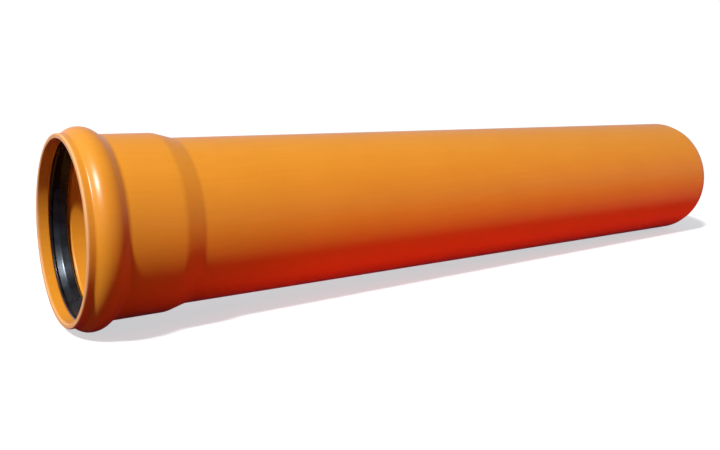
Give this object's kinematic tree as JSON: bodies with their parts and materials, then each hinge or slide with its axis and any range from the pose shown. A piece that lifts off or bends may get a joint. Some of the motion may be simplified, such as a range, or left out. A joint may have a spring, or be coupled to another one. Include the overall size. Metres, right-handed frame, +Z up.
{
  "type": "sewer pipe",
  "caption": "Orange-brown plastic gravity sewer pipe lying on its side, with a beaded push-fit socket holding a black rubber lip seal at one end and a chamfered spigot at the other.",
  "frame": {"origin": "on the floor, under the middle of the bounding box", "axes": "+X along the pipe from the mouth of the socket towards the spigot, +Z up, +Y across"},
  "size_m": [1.1228, 0.2314, 0.2313],
  "materials": {
    "pvc": "smooth extruded surface with a soft gloss",
    "rubber": "satin black, lightly lubricated"
  },
  "bodies": {
    "root": {"pipe": "pvc", "seal_ring": "rubber"}
  },
  "joints": []
}
